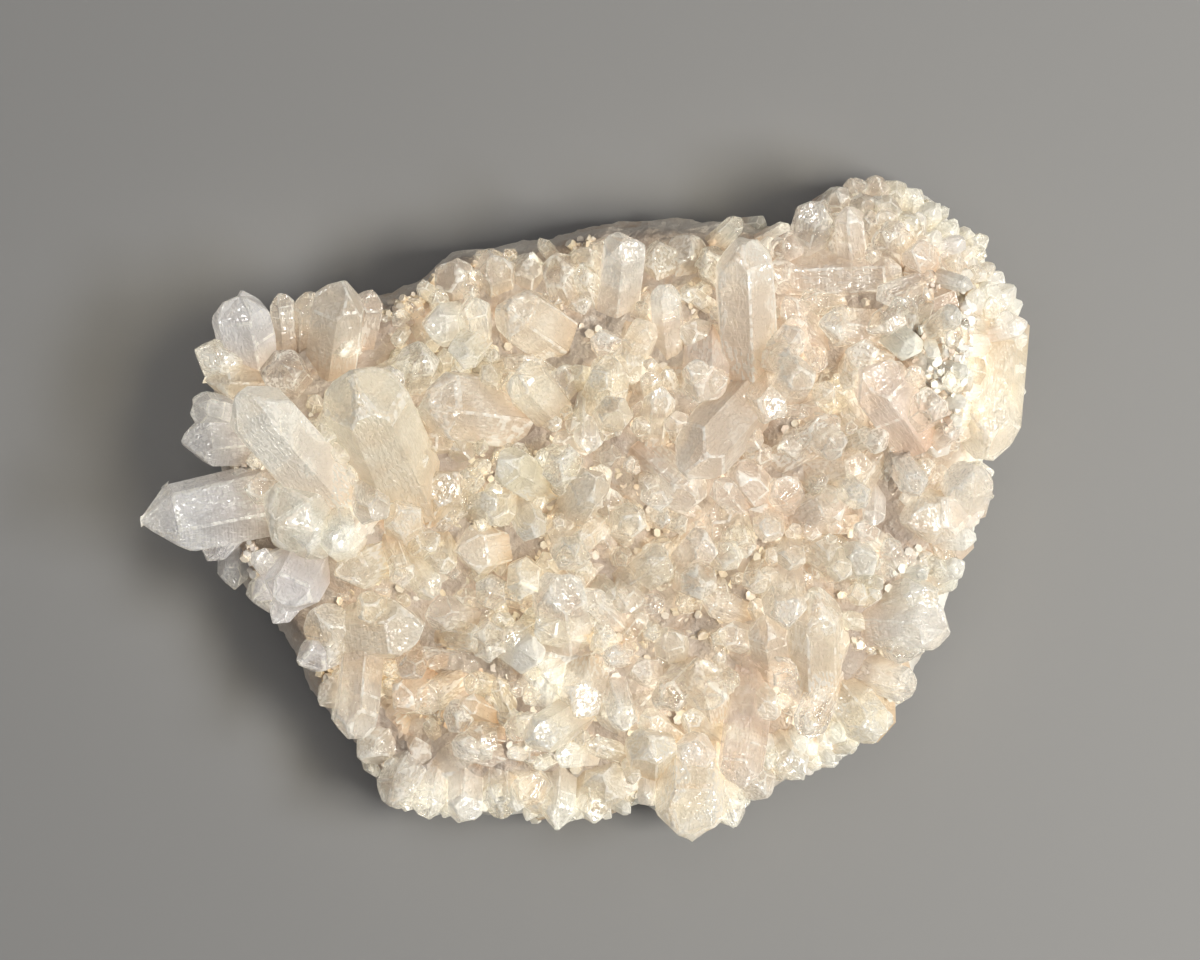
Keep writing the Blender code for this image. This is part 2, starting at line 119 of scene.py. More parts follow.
# The large crystals: tip x and y, heading, lean from upright, width, length, and what they look like.
CRYSTALS = (
    # the left edge
    (-88.6, -4.2, 192, 78, 13.5, 30, "lilac_shade"), (-76, -10.5, 225, 70, 6, 12, "lilac_shade"),
    (-71, -16.8, 268, 62, 5.8, 13, "lilac_shade"), (-80.4, 12.2, 182, 68, 9, 15, "lilac_shade"),
    (-78.4, 19.6, 165, 62, 6.5, 13, "lilac_shade"), (-77.8, 30.2, 160, 50, 7.5, 13, "clear"),
    (-76.5, 24.5, 180, 70, 8, 13, "beige"), (-69.8, 41.4, 102, 58, 11, 17, "lilac_shade"),
    (-60.8, 42.2, 94, 68, 5, 13, "rose"), (-55.2, 42.2, 88, 66, 6, 13, "rose"),
    (-48.6, 44.2, 82, 62, 10.5, 20, "rose"), (-43, 43, 75, 65, 7, 14, "rose"),
    # the tall group behind it
    (-49, 29.6, 265, 28, 8.5, 13, "clear"), (-61, 28, 120, 22, 9, 13, "rose"),
    (-68, 22.6, 130, 58, 13, 36, "white"), (-46.5, 26, 113, 54, 16, 36, "cream"),
    (-32.6, 18.6, 12, 55, 8, 13, "clear"), (-62.5, -4, 205, 35, 14, 17, "white"),
    (-56, -8, 250, 20, 11.5, 15, "white"), (-67.5, 3.4, 175, 50, 6.5, 12, "clear"),
    (-60, -20.5, 245, 48, 11, 15, "lilac_shade"), (-66.5, -19.5, 225, 65, 6, 11, "lilac_shade"),
    (-62.6, -23.5, 230, 60, 5, 12, "lilac_shade"), (-54, -20.8, 125, 48, 9, 15, "clear"),
    (-50, -14.5, 205, 50, 9, 14, "cream"), (-32.4, -24.6, 3, 70, 11.2, 24, "cream"),
    (-57.5, -31.5, 205, 60, 7.5, 12, "lilac_shade"), (-53, -40, 215, 60, 7, 12, "rose"),
    (-46, -46.5, 266, 68, 8.5, 24, "rose"), (-45, -51.5, 222, 60, 8, 13, "beige"),
    (-48, -41.5, 270, 30, 4.5, 8, "clear"), (-36.5, -1.5, 100, 18, 8, 12, "cream"),
    # the lower left
    (-32, -22, 178, 58, 7, 12, "clear"), (-21.5, -32, 352, 78, 4.2, 20, "clear"),
    (-17.6, -46.2, 30, 66, 6, 16, "clear"), (-15.8, -45, 185, 55, 5, 9, "clear"),
    (-5.6, -14.6, 97, 50, 11, 18, "white"), (-2, -42, 255, 42, 9, 14, "beige"),
    (-13, -55, 140, 40, 8, 12, "cream"), (-22, -56, 60, 35, 7, 10, "white"),
    (4, -54, 95, 22, 9, 9, "cream"),
    # the lower rim
    (-39.5, -60.5, 240, 62, 9, 15, "white"), (-32, -63, 262, 60, 7, 12, "clear"),
    (-24.5, -63.3, 268, 58, 7.5, 12, "white"), (-17, -63, 272, 60, 6.5, 12, "clear"),
    (-6, -65, 265, 64, 7, 13, "white"), (2, -63.5, 280, 60, 6, 11, "cream"),
    (22, -66, 270, 58, 14, 20, "cream"), (30, -64.5, 292, 58, 8, 14, "white"),
    (36, -59, 300, 60, 7, 12, "cream"), (43, -55, 300, 60, 7, 12, "cream"),
    # the middle
    (13.5, -46, 85, 28, 10, 14, "cream"), (22.5, -47, 80, 30, 8, 12, "white"),
    (30.4, -56.5, 262, 72, 8.5, 27, "rose"), (23, -30.8, 97, 55, 9.2, 16, "beige"),
    (16.6, -25.2, 100, 42, 6.6, 11, "beige"), (9, -33.5, 175, 50, 6, 10, "clear"),
    (22.8, -18.2, 158, 62, 6, 13, "beige"), (26.5, -25.5, 165, 60, 5.5, 12, "rose"),
    (20.6, -8.2, 95, 52, 5, 10, "rose"), (5, 3.2, 90, 62, 6, 14, "clear"),
    (27, 1, 93, 60, 6.6, 14, "clear"), (22.6, 0.5, 318, 66, 9.5, 18, "rose"),
    (20, 6.4, 229, 60, 12.4, 26, "rose"), (36, 17.2, 268, 48, 8.8, 13, "clear"),
    (31.2, 52.4, 94, 66, 11.4, 32, "rose"), (30, 7.5, 130, 55, 7.5, 13, "rose"),
    (38.5, 5, 120, 50, 7, 11, "clear"),
    # the right side
    (63.4, 46.4, 2, 78, 9.6, 30, "rose"), (36.6, 47, 150, 35, 7, 10, "rose"),
    (39.5, 53.5, 110, 35, 6.5, 9, "rose"), (43, 40.4, 185, 60, 5.5, 11, "beige"),
    (46.5, 36, 175, 68, 8, 16, "rose"), (56, 34.4, 203, 68, 7, 20, "rose"),
    (56.2, 27.6, 127, 62, 11.5, 22, "rose"), (52, 30.5, 160, 55, 8, 12, "clear"),
    (50.4, 17, 36, 58, 7.6, 17, "clear"), (38, 11, 190, 50, 7.5, 11, "rose"),
    (57.4, 8, 5, 68, 7.4, 15, "beige"), (57.6, -4.4, 268, 50, 4.8, 11, "white"),
    (64, -4, 200, 40, 10, 12, "cream"), (71.5, 1, 97, 42, 9.5, 15, "white"),
    (77.5, 8, 75, 45, 9.5, 13, "white"), (82, 6, 10, 60, 6, 11, "white"),
    (82, 1.8, 355, 62, 6, 11, "white"), (80, 9.4, 264.5, 72, 12.5, 30, "cream"),
    (72.2, -24, 0, 60, 10, 18, "white"), (70, -17.5, 20, 50, 9, 13, "white"),
    (66.5, -29.5, 330, 50, 8, 12, "white"), (53.6, -33, 172, 55, 9, 12, "cream"),
    (46, -17, 92, 62, 11, 24, "cream"), (50.6, -40, 165, 40, 11, 10, "cream"),
    (58.5, -46.5, 310, 58, 9, 14, "cream"), (36, -22, 100, 50, 8, 14, "beige"),
    (66, -37, 340, 58, 7, 13, "white"),
    # the back
    (-27, 48.5, 100, 48, 8, 9, "rose"), (-18.5, 50, 95, 44, 8.5, 9, "beige"),
    (-11, 50.5, 80, 46, 8, 9, "beige"), (15, 52.5, 100, 42, 9, 9, "beige"),
    (21.5, 53.5, 70, 48, 8, 9, "rose"), (8, 53, 82, 40, 9, 22, "white"),
    (-0.5, 48, 110, 45, 5.5, 12, "clear"), (-32.4, 35.2, 188, 55, 8.6, 13, "white"),
    (-22.6, 40.8, 97, 50, 6, 13, "white"), (-16, 40, 145, 50, 11, 17, "cream"),
    (-6, 49.5, 110, 45, 8, 12, "beige"), (9.4, 24.2, 270, 58, 6.2, 14, "cream"),
    (15.8, 43.8, 95, 62, 5.6, 16, "white"), (-4.5, 27.2, 100, 35, 5.5, 9, "white"),
    (0.6, 10.4, 269, 68, 5.6, 19, "white"), (-0.5, 27.6, 85, 30, 5.5, 9, "cream"),
    (-32, 20.6, 172, 55, 13.5, 24, "beige"), (-34.8, 13.6, 185, 52, 9, 14, "honey"),
    (-13, 23, 120, 25, 8, 10, "cream"), (-26, 6, 60, 45, 9, 12, "honey"),
    (-25.5, -10, 190, 45, 9.5, 12, "cream"), (24.5, 50.5, 120, 30, 6.5, 9, "rose"),
    (24, 46, 200, 30, 7, 9, "beige"), (24, 20.6, 270, 60, 9, 16, "rose"),
    (24.4, 20.8, 0, 68, 5.4, 12, "clear"), (46.6, 60.4, 75, 52, 7.5, 15, "clear"),
    (56, 65.4, 98, 50, 10, 17, "lumpy"), (62, 64.5, 85, 50, 8, 14, "lumpy"),
    (50, 54.5, 110, 40, 5.5, 9, "rose"), (64.5, 50.5, 150, 30, 6.5, 9, "rose"),
    (70.5, 49, 130, 30, 7.5, 10, "beige"), (59, 55, 130, 40, 7, 11, "rose"),
)

# Small crystals, listed one by one: they cover the foot of the large one on the right edge.
HAND_SET = (
    (74.2, 36.6, 175, 38, 5.2, 9, "cream"), (74.8, 31.8, 185, 44, 5.0, 8, "lit_chalk"),
    (73.4, 27.4, 170, 36, 5.2, 9, "cream"), (74.4, 22.8, 190, 44, 5.0, 8, "lit_chalk"),
    (73.0, 18.6, 175, 38, 5.0, 8, "cream"), (73.6, 14.0, 200, 44, 4.6, 8, "cream"),
    (71.6, 33.8, 160, 30, 4.4, 7, "cream"), (71.2, 23.6, 200, 30, 4.4, 7, "cream"),
    (76.6, 38.4, 150, 46, 4.6, 8, "lit_chalk"), (53.5, 65.2, 105, 48, 5.5, 9, "rose"),
    (58.0, 65.6, 92, 40, 6.0, 10, "rose"), (62.6, 64.8, 80, 46, 5.5, 9, "cream"),
    (49.8, 62.6, 125, 44, 5.0, 9, "rose"), (55.6, 60.8, 95, 24, 6.5, 10, "rose"),
    (61.0, 60.2, 60, 26, 6.0, 10, "cream"), (66.6, 63.2, 66, 50, 5.0, 8, "lit_chalk"),
    (70.6, 60.0, 50, 56, 4.8, 8, "lit_chalk"), (50.6, 57.4, 110, 30, 5.6, 10, "rose"),
    (65.8, 57.2, 40, 30, 5.6, 9, "cream"), (74.4, 56.4, 45, 60, 4.8, 8, "lit_chalk"),
    (88.6, 36.5, 12, 72, 5.5, 9, "lit_chalk"), (87.8, 40.5, 25, 70, 4.8, 8, "lit_chalk"),
    (86.2, 43.6, 40, 68, 5.2, 9, "lit_chalk"), (84.6, 38.6, 60, 50, 5.0, 8, "lit_chalk"),
    (81.6, 41.4, 80, 40, 5.0, 8, "cream"), (80.2, 37.4, 120, 42, 4.6, 7, "cream"),
    (88.8, 33.2, 2, 74, 4.4, 7, "lit_chalk"), (77.2, 33.4, 160, 48, 4.8, 8, "cream"),
    (76.4, 28.0, 175, 52, 4.4, 8, "cream"), (77.0, 22.4, 180, 50, 4.6, 8, "cream"),
    (75.6, 17.2, 190, 55, 4.2, 7, "cream"), (83.8, 46.4, 50, 62, 5.0, 8, "lit_chalk"),
)
DEEP_WIDTH = 9.0  # from this width on, light loses a little of its blue on the way through
BLUNTEST = 0.16  # how much of a tip may be worn off, as a share of the crystal's width
LUMP_COUNT = 9
LUMP_WIDTHS = (3.0, 4.6)
LUMP_SPREAD = 5.0

# The fringe of small chalky crystals, their whiteness partly painted light: how many, between which
# bearings, and their widths.
RIM_COUNT = 110
RIM_TRIES = 3000
RIM_SPAN = (-132.0, 62.0)
RIM_WIDTHS = (2.4, 4.6)

# The middling crystals in the gaps between them.
FILL_SEED = 11
FILL_TRIES = 4000
FILL_COUNT = 41
FILL_WIDTHS = (5.4, 8.4)
FILL_SLENDERNESS = (1.7, 2.7)
FILL_REACH = 0.97
FILL_LEAN_AT_RIM = 64.0
FILL_LEAN_SPREAD = 34.0
FILL_HEADING_SPREAD = 70.0

# The small crystals that crowd every gap: how many, their widths, slenderness and spread of lean.
SMALL_COUNT = 500
SMALL_WIDTHS = (2.8, 6.8)
SMALL_SLENDERNESS = (1.6, 2.9)
SMALL_LEAN_SPREAD = 30.0

# How all the scattered ones lean: in the middle, how much more at the rim, and at most.
SCATTER_LEAN = 44.0
SCATTER_LEAN_AT_RIM = 22.0
SCATTER_LEAN_MOST = 84.0
RIM_FROM = 0.8  # beyond this share of the outline they point outwards, give or take the next
RIM_TURN = 70.0

CRUST_WIDTH = 3.6  # the widest of them in the chalky crust
CHALK_CROWDING = 0.72  # how much closer they stand there

# The view: its middle, the width that it takes in at the crystals' level, and how high the camera is.
VIEW_CENTRE = (2.4, 5.1)
VIEW_WIDTH = 240.0
VIEW_LEVEL = 25.0
CAMERA_HEIGHT = 1.4

# The druse: grains a millimetre or two across.
DRUSE_COUNT = 3800
DRUSE_WIDTHS = (0.9, 2.2)
DRUSE_SLENDERNESS = (1.3, 1.6)
DRUSE_LEAN_SPREAD = 60.0
DRUSE_REACH = 0.965  # the druse stops short of the outline, so that no grains hang on the sides

# Each look: its tint, how milky it is from 0, water-clear, to 1, and how much of it glitters.
LOOKS = {
    "clear": ((0.93, 0.89, 0.82), -0.14, 0.9),
    # lit_chalk: the chalky crust, its whiteness partly painted light on the lit right and front edges
    "lit_chalk": ((0.97, 0.95, 0.89), 0.50, 0.3),
    "white": ((0.955, 0.945, 0.90), 0.06, 1.1),
    "cream": ((0.94, 0.88, 0.755), 0.08, 0.8),
    "beige": ((0.885, 0.805, 0.68), 0.04, 0.6),
    "rose": ((0.88, 0.785, 0.69), 0.04, 0.6),
    # lilac_shade: a cooler, darker grey, painted shade on the left side away from the window
    "lilac_shade": ((0.84, 0.84, 0.875), 0.10, 0.5),
    "honey": ((0.89, 0.78, 0.60), -0.04, 0.6),
    "amber": ((0.82, 0.63, 0.45), 0.10, 0.2),
    "rust": ((0.30, 0.19, 0.13), 0.90, 0.0),
}

# The bright chalky crust along the right and front edges, whiter partly as painted light on the edges that
# face the lamps: x, y, reach.
LIT_CHALK = (
    (88, 30, 13), (77, 26, 11), (84, 44, 11), (76, 55, 9), (67, 62, 6), (82, 4, 8), (79, -8, 7),
    (73, -22, 7), (64, -38, 7), (50, -52, 8), (30, -63, 9), (14, -62, 8), (0, -63, 8), (-14, -62, 8),
    (-28, -62, 9), (-6, -35, 6),
)

# Small dark mineral specks between the crystals: x and y.
SPECKS = (
    (3.9, 32.4), (3.5, 28.8), (5.9, 23.6), (3.5, 18.2), (-35.5, -46.2), (-17.0, -6.7), (26.6, 26.0),
    (30.5, 13.2), (-37.4, 30.1), (44.7, 20.2),
)
SPECK_REACH = 1.3
SPECK_WIDTH = 1.3

# The bare ledge along the back: where it starts and ends, and its front edge.
LEDGE = (-14.0, 45.0, 53.6)

# Wide crystals are milkier than narrow ones: from this width on, and by how much a millimetre.
MILKY_FROM = 4.0
MILKY_GAIN = 0.030
MILKY_MOST = 0.22

# How many of the seeded crystals are clear wherever they stand, and how far the zones below blend.
CLEAR_SHARE = 0.18
ZONE_BLEND = 0.7

# Where the seeded crystals take which look: x, y, reach, look.
LOOK_ZONES = (
    (-31, -41, 13, "amber"), (-80, 0, 26, "lilac_shade"), (-62, 36, 22, "cream"), (-50, 5, 20, "white"),
    (-20, 12, 24, "cream"), (-35, -38, 17, "honey"), (-8, -40, 14, "cream"), (-20, -60, 26, "white"),
    (20, -60, 22, "cream"), (10, 0, 22, "beige"), (30, 8, 20, "rose"), (0, 36, 26, "beige"),
    (40, 45, 26, "rose"), (60, 30, 22, "rose"), (84, 30, 14, "cream"), (76, -10, 18, "white"),
    (60, -40, 20, "cream"), (35, -30, 22, "beige"), (0, 56, 30, "beige"),
)


def outline_radius(x, y):
    """How far out a plan point lies: 0 at the middle of the plate and 1 on its outline."""
    here = math.atan2(y, x)
    for start, end in zip(OUTLINE, OUTLINE[1:] + OUTLINE[:1]):
        first = math.atan2(start[1], start[0])
        turn = (math.atan2(end[1], end[0]) - first) % math.tau
        if (here - first) % math.tau <= turn:
            edge = Vector(end) - Vector(start)
            ray = Vector((math.cos(here), math.sin(here)))
            reach = edge.cross(Vector(start)) / edge.cross(ray)
            return math.hypot(x, y) / reach
    return 0.0


def top_height(x, y):
    height = PLATE_HEIGHT
    for mound_x, mound_y, reach, rise in MOUNDS:
        away = math.hypot(x - mound_x, y - mound_y) / reach
        height += rise * math.exp(-away * away)
    return height


def shoulder_scale(x, y):
    to_the_right = max(0.0, x / math.hypot(x, y)) ** 2
    upper_right = to_the_right if y > 0 else 0.0
    return 1.0 - SHOULDER_INSET - RIGHT_SLOPE_INSET * upper_right


def surface_height(x, y):
    out = outline_radius(x, y)
    shoulder = shoulder_scale(x, y)
    if out <= shoulder:
        return top_height(x, y)
    fall = min(1.0, (out - shoulder) / (1.0 - shoulder))
    return top_height(x, y) * (SHOULDER_SHARE + (BELLY_SHARE - SHOULDER_SHARE) * fall)


def axis_of(heading, lean):
    level = math.sin(math.radians(lean))
    around = math.radians(heading)
    return Vector((level * math.cos(around), level * math.sin(around), math.cos(math.radians(lean))))


def tip_of(crystal):
    x, y, heading, lean, width, length = crystal[:6]
    axis = axis_of(heading, lean)
    foot = surface_height(x - axis.x * length, y - axis.y * length) - ROOT_DEPTH - ROOT_SHARE * width
    foot = max(foot, LOWEST_FOOT + 0.5 * width)
    return Vector((x, y, foot + axis.z * length))


def spans():
    """The large crystals as seen from above: tip, way back to the foot, its length squared, reach."""
    found = []
    for crystal in CRYSTALS:
        axis = axis_of(crystal[2], crystal[3])
        back_x, back_y = -axis.x * crystal[5], -axis.y * crystal[5]
        found.append((crystal[0], crystal[1], back_x, back_y, back_x**2 + back_y**2, 0.42 * crystal[4]))
    return found


SPANS = spans()


def covered(x, y):
    """True where a large crystal already hides the plate from above."""
    for tip_x, tip_y, back_x, back_y, squared, reach in SPANS:
        away_x, away_y = x - tip_x, y - tip_y
        along = 0.0
        if squared > 0:
            along = min(1.0, max(0.0, (away_x * back_x + away_y * back_y) / squared))
        if math.hypot(away_x - back_x * along, away_y - back_y * along) < reach:
            return True
    return False


def lit_chalkiness(x, y):
    """How thick the chalky crust is at a plan point, from 0 to 1; its whiteness is partly painted light on
    the lit edges.
    """
    return max(math.exp(-((math.hypot(x - a, y - b) / reach) ** 4)) for a, b, reach in LIT_CHALK)


def look_at(x, y, pick):
    """The look of a seeded crystal: that of the zone it most likely belongs to."""
    if pick.random() < lit_chalkiness(x, y):
        return "lit_chalk"
    if any(math.hypot(x - a, y - b) < SPECK_REACH for a, b in SPECKS):
        return "rust"
    nearness = [
        math.hypot(x - a, y - b) / reach + pick.random() * ZONE_BLEND for a, b, reach, _ in LOOK_ZONES
    ]
    best = LOOK_ZONES[nearness.index(min(nearness))]
    return "clear" if pick.random() < CLEAR_SHARE else best[3]


def middling_crystals():
    pick = random.Random(FILL_SEED)
    looks = random.Random(FILL_SEED)
    grown = []
    for _ in range(FILL_TRIES):
        x = pick.uniform(-80, 86)
        y = pick.uniform(-66, 66)
        width = pick.uniform(*FILL_WIDTHS)
        slenderness = pick.uniform(*FILL_SLENDERNESS)
        lean_spread = pick.uniform(-1, 1) * FILL_LEAN_SPREAD
        heading_spread = pick.uniform(-1, 1) * FILL_HEADING_SPREAD
        out = outline_radius(x, y)
        if out > FILL_REACH * shoulder_scale(x, y) or covered(x, y):
            continue
        if any(math.hypot(x - c[0], y - c[1]) < 0.46 * (width + c[4]) for c in grown):
            continue
        lean = min(80.0, abs(FILL_LEAN_AT_RIM * out**1.5 + lean_spread))
        heading = math.degrees(math.atan2(y, x)) + heading_spread
        grown.append((x, y, heading, lean, width, width * slenderness, look_at(x, y, looks)))
        if len(grown) == FILL_COUNT:
            break
    return grown


def scattered(count, widths, slenderness, lean_spread, seed, spacing, farthest=1.0):
    """Seeded crystals all over the plate's top and the upper part of its side, none quite on another."""
    pick = random.Random(seed)
    cell = max(widths)
    taken = {}
    grown = []
    for _ in range(count * 30):
        x = pick.uniform(-80, 89)
        y = pick.uniform(-67, 67)
        width = widths[0] + (widths[1] - widths[0]) * pick.random() ** 1.6
        out = outline_radius(x, y)
        if out > farthest or covered(x, y) or (LEDGE[0] < x < LEDGE[1] and y > LEDGE[2]):
            continue
        if lit_chalkiness(x, y) > 0.5 and width > CRUST_WIDTH:
            continue
        near = [(int(x // cell) + i, int(y // cell) + j) for i in (-1, 0, 1) for j in (-1, 0, 1)]
        crowd = [c for key in near for c in taken.get(key, ())]
        apart = spacing * (CHALK_CROWDING if lit_chalkiness(x, y) > 0.5 else 1.0)
        if any(math.hypot(x - a, y - b) < apart * (width + w) for a, b, w in crowd):
            continue
        taken.setdefault(near[4], []).append((x, y, width))
        lean = abs(SCATTER_LEAN + SCATTER_LEAN_AT_RIM * out**2 + pick.uniform(-1, 1) * lean_spread)
        lean = min(SCATTER_LEAN_MOST, lean)
        turn = RIM_TURN if out > RIM_FROM else 180.0
        heading = math.degrees(math.atan2(y, x)) + pick.uniform(-1, 1) * turn
        length = width * pick.uniform(*slenderness)
        look = look_at(x, y, pick)
        if look == "rust" and width > SPECK_WIDTH:
            look = "honey"
        grown.append((x, y, heading, lean, width, length, look))
        if len(grown) == count:
            break
    return grown


# ---------------------------------------------------------------- modelling


def deselect_all():
    bpy.ops.object.select_all(action="DESELECT")


def keep_apart(piece):
    """Puts a pattern crystal aside: it is only copied from."""
    for collection in list(piece.users_collection):
        collection.objects.unlink(piece)
    return piece


def cut_away(point, normal):
    bpy.ops.mesh.select_all(action="SELECT")
    bpy.ops.mesh.bisect(
        plane_co=point, plane_no=normal, use_fill=True, clear_outer=True, threshold=1e-5,
    )


def narrow(mesh, face, bevel):
    """True for the strip that a bevel leaves along an edge, and for its corners."""
    corners = [mesh.vertices[index].co for index in face.vertices]
    around = sum((a - b).length for a, b in zip(corners, corners[1:] + corners[:1]))
    return face.area < bevel * around


def pattern_crystal(name, seed, tip_faces, bevel, growth_step):
    """A crystal one unit wide with its tip at the origin: an uneven six-sided prism and its tip."""
    shape = random.Random(seed)
    deselect_all()
    bpy.ops.mesh.primitive_cylinder_add(
        vertices=PRISM_SIDES, radius=PRISM_RADIUS, depth=PRISM_LENGTH, location=(0, 0, PRISM_MIDDLE),
    )
    crystal = bpy.context.object
    crystal.name = name
    bpy.ops.object.transform_apply(location=True, rotation=False, scale=False)
    bpy.ops.object.mode_set(mode="EDIT")
    for side in range(PRISM_SIDES):
        around = math.tau * side / PRISM_SIDES
        outward = Vector((math.cos(around), math.sin(around), shape.uniform(*TAPERS))).normalized()
        reach = 0.5 * shape.uniform(*SIDE_REACHES)
        cut_away((outward.x * reach, outward.y * reach, 0), outward)
    for side in range(PRISM_SIDES):
        around = math.tau * side / PRISM_SIDES
        large = side % 2 == 1
        drop = shape.uniform(*(LARGE_FACE_DROPS if large else SMALL_FACE_DROPS))
        level = math.sin(TIP_SLOPE)
        slope = Vector((level * math.cos(around), level * math.sin(around), math.cos(TIP_SLOPE)))
        if large or tip_faces == PRISM_SIDES:
            cut_away((0, 0, -drop), slope)
    bpy.ops.object.mode_set(mode="OBJECT")
    mesh = crystal.data
    if growth_step:
        for face in mesh.polygons:
            at_tip = abs(face.normal.z) > 0.3 and face.center.z > GROWTH_ABOVE
            face.select = at_tip and shape.random() < STEPPED_SHARE
        bpy.ops.object.mode_set(mode="EDIT")
        bpy.ops.mesh.select_mode(type="FACE")
        bpy.ops.mesh.inset(thickness=STEP_INSET, depth=STEP_RISE, use_individual=True)
        bpy.ops.object.mode_set(mode="OBJECT")
    if bevel:
        for vert in mesh.vertices:
            vert.select = vert.co.z > BEVELS_ABOVE
        bpy.ops.object.mode_set(mode="EDIT")
        bpy.ops.mesh.select_mode(type="VERT")
        bpy.ops.mesh.select_mode(type="EDGE")
        bpy.ops.mesh.bevel(offset=bevel, segments=1, affect="EDGES")
        bpy.ops.object.mode_set(mode="OBJECT")
        # the bevel strips, which carry the painted highlight along the edges
        edge_highlight = mesh.attributes.new("edge", "FLOAT", "FACE")
        edge_highlight.data.foreach_set("value", [float(narrow(mesh, face, bevel)) for face in mesh.polygons])
    highest = max(vert.co.z for vert in mesh.vertices)
    mesh.transform(Matrix.Translation((0, 0, -highest)))
    return keep_apart(crystal)


def pattern_grain(name, seed):
    """A grain of druse: a stubby six-sided point of a few faces, one unit wide."""
    shape = random.Random(seed)
    deselect_all()
    bpy.ops.mesh.primitive_cylinder_add(vertices=6, radius=0.55, depth=1.0, location=(0, 0, -0.95))
    grain = bpy.context.object
    grain.name = name
    bpy.ops.object.transform_apply(location=True, rotation=False, scale=False)
    for face in grain.data.polygons:
        face.select = face.normal.z > 0.9
    bpy.ops.object.mode_set(mode="EDIT")
    bpy.ops.mesh.select_mode(type="FACE")
    bpy.ops.mesh.extrude_region_move(TRANSFORM_OT_translate={"value": (0, 0, 0.45)})
    bpy.ops.mesh.merge(type="CENTER")
    bpy.ops.mesh.select_all(action="SELECT")
    bpy.ops.mesh.normals_make_consistent(inside=False)
    bpy.ops.object.mode_set(mode="OBJECT")
    for vert in grain.data.vertices:
        vert.co.x *= shape.uniform(0.82, 1.12)
        vert.co.y *= shape.uniform(0.82, 1.12)
        vert.co.z += shape.uniform(-0.08, 0.04)
    highest = max(vert.co.z for vert in grain.data.vertices)
    grain.data.transform(Matrix.Translation((0, 0, -highest)))
    return keep_apart(grain)


def grow(pattern, crystal, pick, flattest):
    """A copy of a pattern crystal with its own mesh, set in its place, with its tint and milkiness."""
    _, _, heading, lean, width, length, look = crystal
    mesh = pattern.data.copy()
    count = len(mesh.vertices)
    local = np.empty(count * 3, np.float32)
    mesh.vertices.foreach_get("co", local)
    local = local.reshape(-1, 3)
    local[local[:, 2] < PATTERN_FOOT, 2] = -max(length / width, SHORTEST)
    blunt = pick.uniform(0.0, BLUNTEST)
    local[:, 2] = np.minimum(local[:, 2], -blunt) + blunt
    mesh.vertices.foreach_set("co", local.ravel())
    along = mesh.attributes.new("along", "FLOAT", "POINT")
    along.data.foreach_set("value", np.minimum(-local[:, 2] * width / length, 1.0))
    grain = mesh.attributes.new("grain", "FLOAT_VECTOR", "POINT")
    away = np.array([pick.uniform(-1, 1) for _ in range(3)], np.float32)
    grain.data.foreach_set("vector", (local * width * MM + away).astype(np.float32).ravel())
    tint, milky, glitter = LOOKS[look]
    shade = pick.uniform(*SHADES)
    colour = mesh.attributes.new("tint", "FLOAT_COLOR", "POINT")
    row = [min(1.0, part * shade * pick.uniform(*TINT_SHIFTS)) for part in tint] + [1.0]
    colour.data.foreach_set("color", np.tile(np.array(row, np.float32), count))
    widest = min(MILKY_MOST, max(0.0, MILKY_GAIN * (width - MILKY_FROM)))
    milk = mesh.attributes.new("milk", "FLOAT", "POINT")
    milk.data.foreach_set("value", np.full(count, milky + widest + pick.uniform(*MILK_SHIFTS), np.float32))
    flash = mesh.attributes.new("flash", "FLOAT", "POINT")
    flash.data.foreach_set("value", np.full(count, glitter * pick.uniform(*GLITTERS), np.float32))
    place = (
        Matrix.Translation(tip_of(crystal) + CENTRING)
        @ axis_of(heading, lean).to_track_quat("Z", "Y").to_matrix().to_4x4()
        @ Matrix.Diagonal((1.0, pick.uniform(flattest, 1.0), 1.0, 1.0))
        @ Matrix.Rotation(pick.uniform(0, math.tau), 4, "Z")
        @ Matrix.Scale(width, 4)
    )
    mesh.transform(Matrix.Scale(MM, 4) @ place)
    piece = bpy.data.objects.new(pattern.name, mesh)
    bpy.context.scene.collection.objects.link(piece)
    return piece


def lumps():
    """The lumpy clusters of small crystals that stand where the table says lumpy."""
    pick = random.Random(17)
    grown = []
    for x, y, heading, lean, _, length, look in CRYSTALS:
        if look != "lumpy":
            continue
        for _ in range(LUMP_COUNT):
            size = pick.uniform(*LUMP_WIDTHS)
            back = pick.uniform(0.15, 0.9) * length * math.sin(math.radians(lean))
            around = math.radians(heading)
            small_x = x - back * math.cos(around) + pick.uniform(-1, 1) * LUMP_SPREAD
            small_y = y - back * math.sin(around) - pick.uniform(0, 1) * LUMP_SPREAD
            turned = heading + pick.uniform(-60, 60)
            leaning = pick.uniform(20, 66)
            long = size * pick.uniform(1.9, 2.8)
            grown.append((small_x, small_y, turned, leaning, size, long, "rose"))
    return grown


def rim_crystals():
    """Small chalky crystals that fringe the front and right edges of the plate, their whiteness partly
    painted light.
    """
    pick = random.Random(23)
    grown = []
    for _ in range(RIM_TRIES):
        around = math.radians(pick.uniform(*RIM_SPAN))
        reach = 1.0 / outline_radius(math.cos(around), math.sin(around))
        out = pick.uniform(0.93, 1.01)
        x = out * reach * math.cos(around)
        y = out * reach * math.sin(around)
        width = pick.uniform(*RIM_WIDTHS)
        crowded = any(math.hypot(x - c[0], y - c[1]) < 0.36 * (width + c[4]) for c in grown)
        if crowded or covered(x, y):
            continue
        heading = math.degrees(around) + pick.uniform(-55, 55)
        look = "lit_chalk" if pick.random() < 0.7 else "cream"
        grown.append((x, y, heading, pick.uniform(48, 80), width, width * pick.uniform(1.6, 2.4), look))
        if len(grown) == RIM_COUNT:
            break
    return grown


